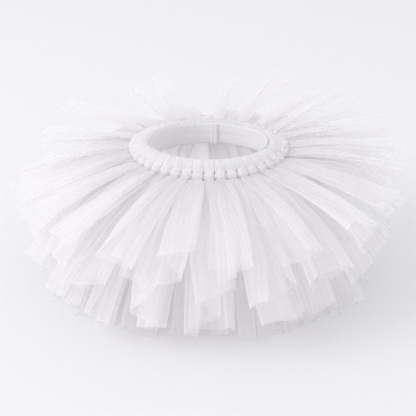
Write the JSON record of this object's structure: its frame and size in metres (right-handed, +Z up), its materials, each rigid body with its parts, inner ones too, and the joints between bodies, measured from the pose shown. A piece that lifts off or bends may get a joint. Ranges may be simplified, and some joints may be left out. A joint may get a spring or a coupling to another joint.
{
  "type": "ballet tutu",
  "caption": "Small pull-on ballet tutu of tulle strips knotted side by side round an elastic waist, their pleated tails fanning out in tiers down to the hem it stands on.",
  "frame": {"origin": "on the floor, under the middle of the waist opening and of the whole skirt", "axes": "+Z up through the waist, centre front faces -Y, the lap of the waist elastic is at centre back, +Y"},
  "size_m": [0.4324, 0.4396, 0.1767],
  "materials": {
    "tulle": "fine soft nylon net, white with a faint lavender cast, see-through where it is one layer deep",
    "band_elastic": "smooth white knitted elastic, matt",
    "core_elastic": "narrow white woven elastic, hidden inside the loops"
  },
  "bodies": {
    "root": {"tulle_strip_01": "tulle", "tulle_strip_02": "tulle", "tulle_strip_03": "tulle", "tulle_strip_04": "tulle", "tulle_strip_05": "tulle", "tulle_strip_06": "tulle", "tulle_strip_07": "tulle", "tulle_strip_08": "tulle", "tulle_strip_09": "tulle", "tulle_strip_10": "tulle", "tulle_strip_11": "tulle", "tulle_strip_12": "tulle", "tulle_strip_13": "tulle", "tulle_strip_14": "tulle", "tulle_strip_15": "tulle", "tulle_strip_16": "tulle", "tulle_strip_17": "tulle", "tulle_strip_18": "tulle", "tulle_strip_19": "tulle", "tulle_strip_20": "tulle", "tulle_strip_21": "tulle", "tulle_strip_22": "tulle", "tulle_strip_23": "tulle", "tulle_strip_24": "tulle", "tulle_strip_25": "tulle", "tulle_strip_26": "tulle", "tulle_strip_27": "tulle", "tulle_strip_28": "tulle", "tulle_strip_29": "tulle", "tulle_strip_30": "tulle", "tulle_strip_31": "tulle", "tulle_strip_32": "tulle", "tulle_strip_33": "tulle", "tulle_strip_34": "tulle", "tulle_strip_35": "tulle", "tulle_strip_36": "tulle", "tulle_strip_37": "tulle", "tulle_strip_38": "tulle", "tulle_strip_39": "tulle", "tulle_strip_40": "tulle", "tulle_strip_41": "tulle", "tulle_strip_42": "tulle", "tulle_strip_43": "tulle", "tulle_strip_44": "tulle", "inner_band": "band_elastic", "core_elastic": "core_elastic"}
  },
  "joints": []
}
